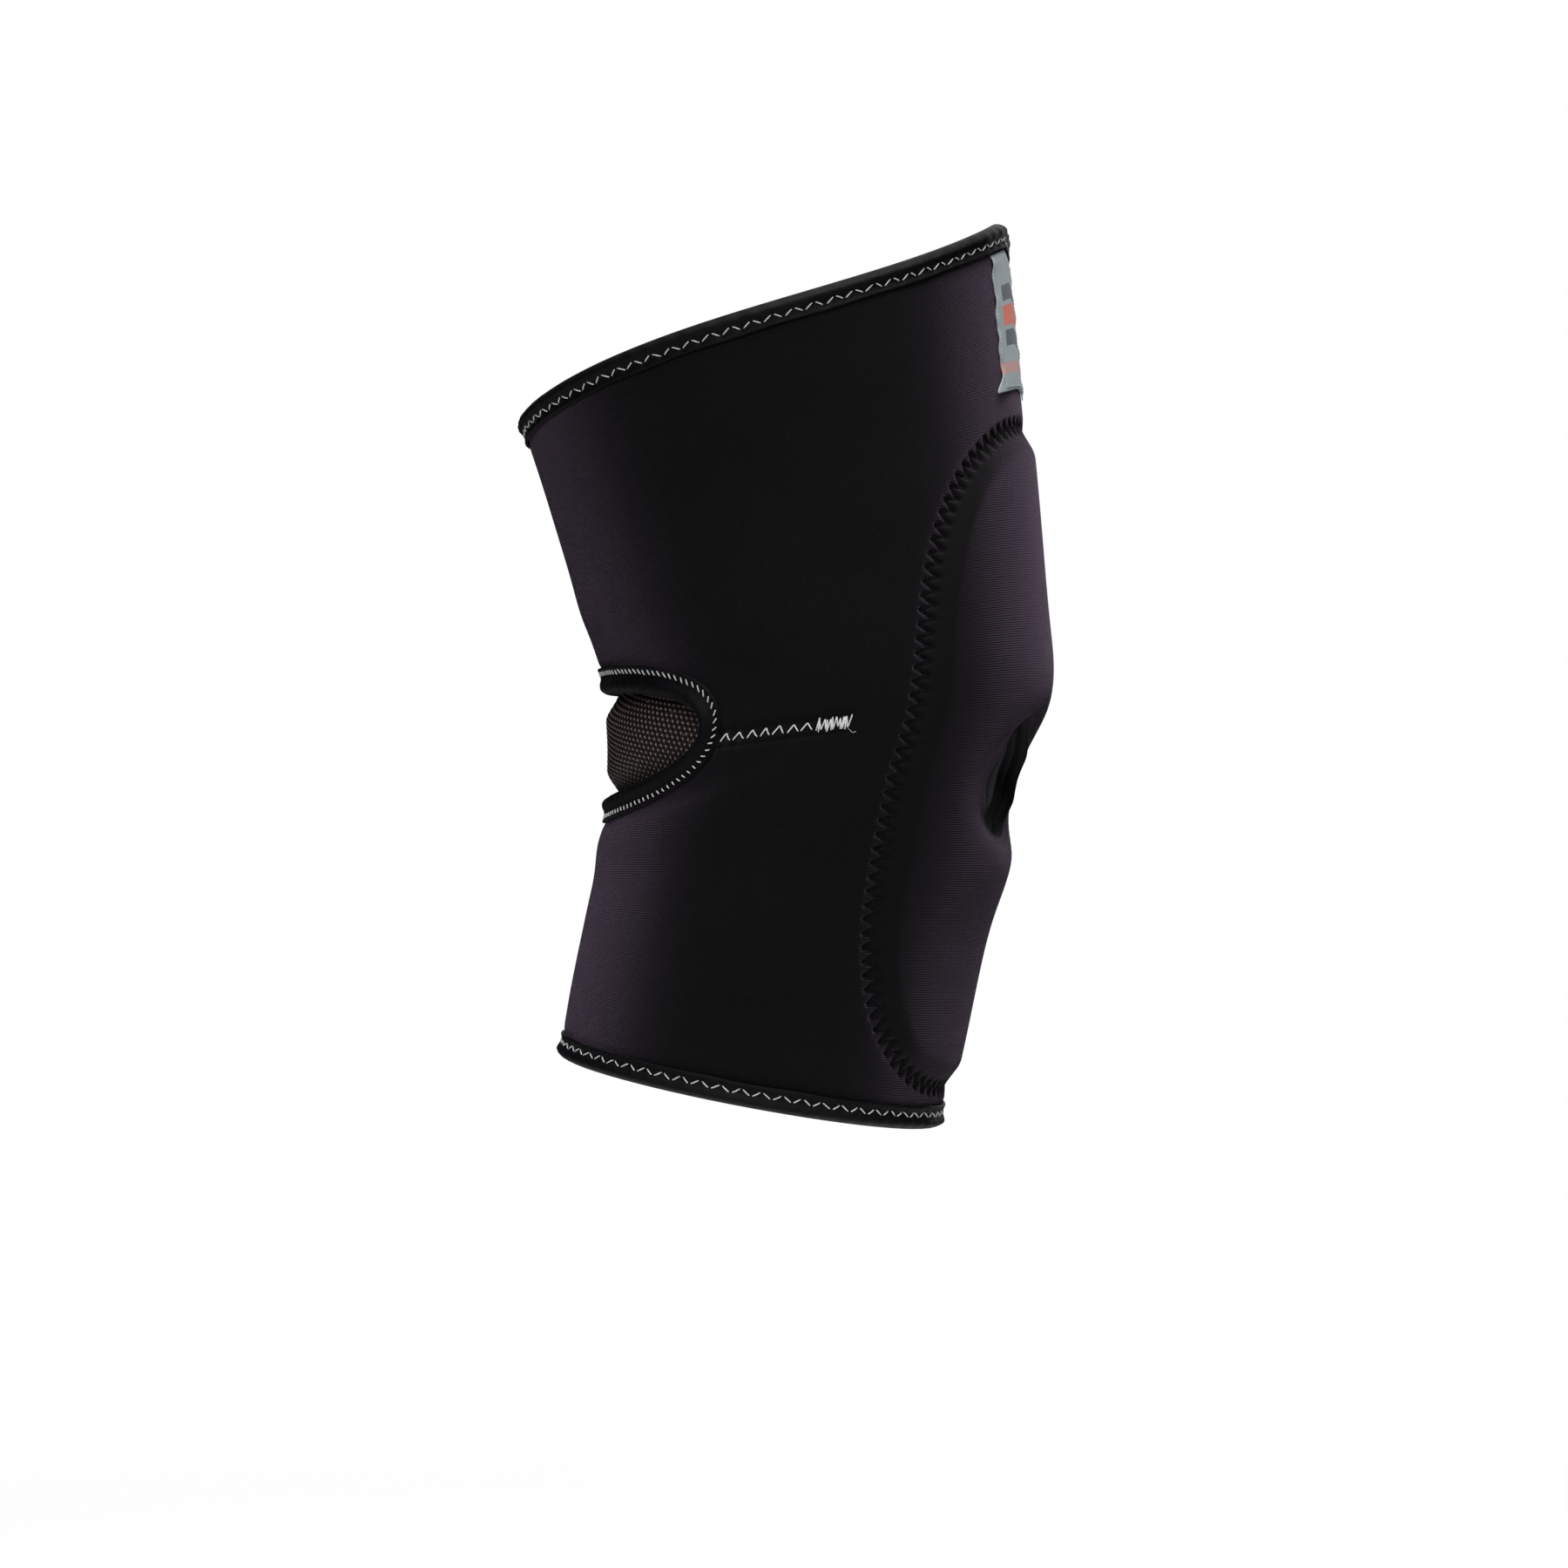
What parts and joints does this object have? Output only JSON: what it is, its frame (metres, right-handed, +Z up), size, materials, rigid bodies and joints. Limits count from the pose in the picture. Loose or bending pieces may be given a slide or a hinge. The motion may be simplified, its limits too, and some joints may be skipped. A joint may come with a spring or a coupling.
{
  "type": "knee brace",
  "caption": "Slip-on neoprene knee sleeve with an open kneecap hole, a stitched anterior pad, a mesh vent behind the knee, bound edges and side darts, bending at the knee.",
  "frame": {"origin": "centre of the knee's bend, in the middle of the leg, level with the kneecap hole's upper part", "axes": "+X towards the front of the knee, +Y to one side, +Z up the thigh"},
  "size_m": [0.166, 0.1446, 0.278],
  "materials": {
    "face_jersey": "black nylon jersey, fine vertical knit ribs, soft sheen",
    "neoprene_foam": "closed-cell foam, matte, seen at the cut edge of the kneecap hole",
    "lining_jersey": "black nylon jersey, matte",
    "pad_foam": "closed-cell foam faced with black jersey",
    "binding_tape": "satin stretch tape, smooth",
    "vent_mesh": "warp-knit mesh with small staggered holes",
    "woven_label": null,
    "label_thread": "fine polyester thread",
    "white_thread": "spun polyester thread",
    "black_thread": "spun polyester thread"
  },
  "bodies": {
    "thigh": {"thigh_face_fabric": "face_jersey", "thigh_foam_core": "neoprene_foam", "thigh_lining": "lining_jersey", "knee_face_fabric": "face_jersey", "knee_foam_core": "neoprene_foam", "knee_lining": "lining_jersey", "anterior_pad_upper": "pad_foam", "anterior_pad_knee": "pad_foam", "top_binding": "binding_tape", "vent_binding": "binding_tape", "vent_mesh": "vent_mesh", "woven_label": "woven_label", "top_binding_thread": "white_thread", "vent_binding_thread": "white_thread", "pad_thread_upper": "black_thread", "pad_thread_knee": "black_thread", "dart_thread_left": "white_thread", "dart_thread_right": "white_thread", "bar_tack_left": "white_thread", "bar_tack_right": "white_thread", "label_thread": "label_thread", "back_seam_thread_thigh": "black_thread", "back_seam_thread_knee": "black_thread"},
    "shin": {"shin_face_fabric": "face_jersey", "shin_foam_core": "neoprene_foam", "shin_lining": "lining_jersey", "anterior_pad_lower": "pad_foam", "bottom_binding": "binding_tape", "bottom_binding_thread": "white_thread", "pad_thread_lower": "black_thread", "back_seam_thread_shin": "black_thread"}
  },
  "joints": [
    {"name": "knee_flexion", "type": "hinge", "parent": "thigh", "child": "shin", "pos_m": [0, 0, 0], "axis": [0, 1, 0], "range_deg": [-22, 68], "stiffness_Nm_per_rad": 0.5, "deforming": ["knee_face_fabric", "knee_foam_core", "knee_lining", "anterior_pad_knee", "vent_binding", "vent_mesh", "vent_binding_thread", "pad_thread_knee", "dart_thread_left", "dart_thread_right", "bar_tack_left", "bar_tack_right", "back_seam_thread_knee"]}
  ]
}
